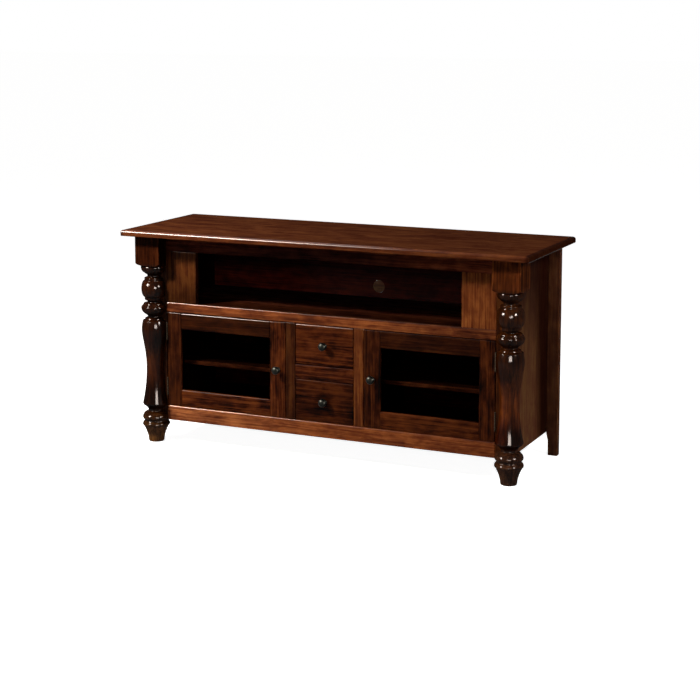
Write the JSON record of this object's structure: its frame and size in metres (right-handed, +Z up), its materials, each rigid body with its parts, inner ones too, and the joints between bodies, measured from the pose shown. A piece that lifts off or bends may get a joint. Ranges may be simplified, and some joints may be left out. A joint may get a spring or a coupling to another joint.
{
  "type": "tv cabinet",
  "caption": "Low, wide dark wood cabinet on turned front legs, with an open media compartment over hinged glass doors and centre drawers",
  "frame": {"origin": "on the floor, under the middle of the top board", "axes": "+X to the right along the width as seen from the front, +Y from the front to the back, +Z up"},
  "size_m": [1.52, 0.5138, 0.7768],
  "materials": {
    "lacquered_wood": "dark reddish brown stain under semi-gloss lacquer, fine straight grain",
    "leg_wood": "near-black stain under gloss lacquer",
    "inner_wood": "dark stained board, satin",
    "drawer_box_wood": "plain light wood, clear satin",
    "glass": "clear, smooth",
    "dark_knob": "dark oil-rubbed metal, semi-gloss",
    "hinge_metal": "dark bronze, satin"
  },
  "bodies": {
    "cabinet": {"top_board": "lacquered_wood", "face_top_rail": "lacquered_wood", "face_mid_rail": "lacquered_wood", "face_bottom_rail": "lacquered_wood", "drawer_rail": "lacquered_wood", "end_stile_left": "lacquered_wood", "end_stile_right": "lacquered_wood", "upper_stile_left": "lacquered_wood", "upper_stile_right": "lacquered_wood", "mullion_left": "lacquered_wood", "mullion_right": "lacquered_wood", "side_panel_left": "lacquered_wood", "side_panel_right": "lacquered_wood", "rear_leg_left": "lacquered_wood", "rear_leg_right": "lacquered_wood", "front_leg_left": "leg_wood", "front_leg_right": "leg_wood", "media_shelf": "lacquered_wood", "door_shelf_left": "lacquered_wood", "door_shelf_right": "lacquered_wood", "bottom_board": "inner_wood", "stop_rail": "inner_wood", "drawer_divider": "inner_wood", "partition_left": "inner_wood", "partition_right": "inner_wood", "back_panel": "inner_wood", "left_frame_lower_hinge_leaf": "hinge_metal", "left_frame_upper_hinge_leaf": "hinge_metal", "right_frame_lower_hinge_leaf": "hinge_metal", "right_frame_upper_hinge_leaf": "hinge_metal"},
    "left_door": {"left_door_inner_stile": "lacquered_wood", "left_door_outer_stile": "lacquered_wood", "left_door_bottom_rail": "lacquered_wood", "left_door_top_rail": "lacquered_wood", "left_door_glass": "glass", "left_door_glass_beads": "lacquered_wood", "left_door_knob": "dark_knob", "left_door_lower_hinge_leaf": "hinge_metal", "left_door_upper_hinge_leaf": "hinge_metal"},
    "right_door": {"right_door_inner_stile": "lacquered_wood", "right_door_outer_stile": "lacquered_wood", "right_door_bottom_rail": "lacquered_wood", "right_door_top_rail": "lacquered_wood", "right_door_glass": "glass", "right_door_glass_beads": "lacquered_wood", "right_door_knob": "dark_knob", "right_door_lower_hinge_leaf": "hinge_metal", "right_door_upper_hinge_leaf": "hinge_metal"},
    "upper_drawer": {"upper_drawer_front": "lacquered_wood", "upper_drawer_side_left": "drawer_box_wood", "upper_drawer_side_right": "drawer_box_wood", "upper_drawer_back": "drawer_box_wood", "upper_drawer_bottom": "drawer_box_wood", "upper_drawer_knob": "dark_knob"},
    "lower_drawer": {"lower_drawer_front": "lacquered_wood", "lower_drawer_side_left": "drawer_box_wood", "lower_drawer_side_right": "drawer_box_wood", "lower_drawer_back": "drawer_box_wood", "lower_drawer_bottom": "drawer_box_wood", "lower_drawer_knob": "dark_knob"}
  },
  "joints": [
    {"name": "left_door_hinge", "type": "hinge", "parent": "cabinet", "child": "left_door", "pos_m": [-0.6239, -0.17395, 0.30675], "axis": [0, 0, -1], "range_deg": [0, 90]},
    {"name": "right_door_hinge", "type": "hinge", "parent": "cabinet", "child": "right_door", "pos_m": [0.6239, -0.17395, 0.30675], "axis": [0, 0, 1], "range_deg": [0, 90]},
    {"name": "upper_drawer_slide", "type": "slide", "parent": "cabinet", "child": "upper_drawer", "axis": [0, -1, 0], "range_m": [0, 0.28]},
    {"name": "lower_drawer_slide", "type": "slide", "parent": "cabinet", "child": "lower_drawer", "axis": [0, -1, 0], "range_m": [0, 0.28]}
  ]
}
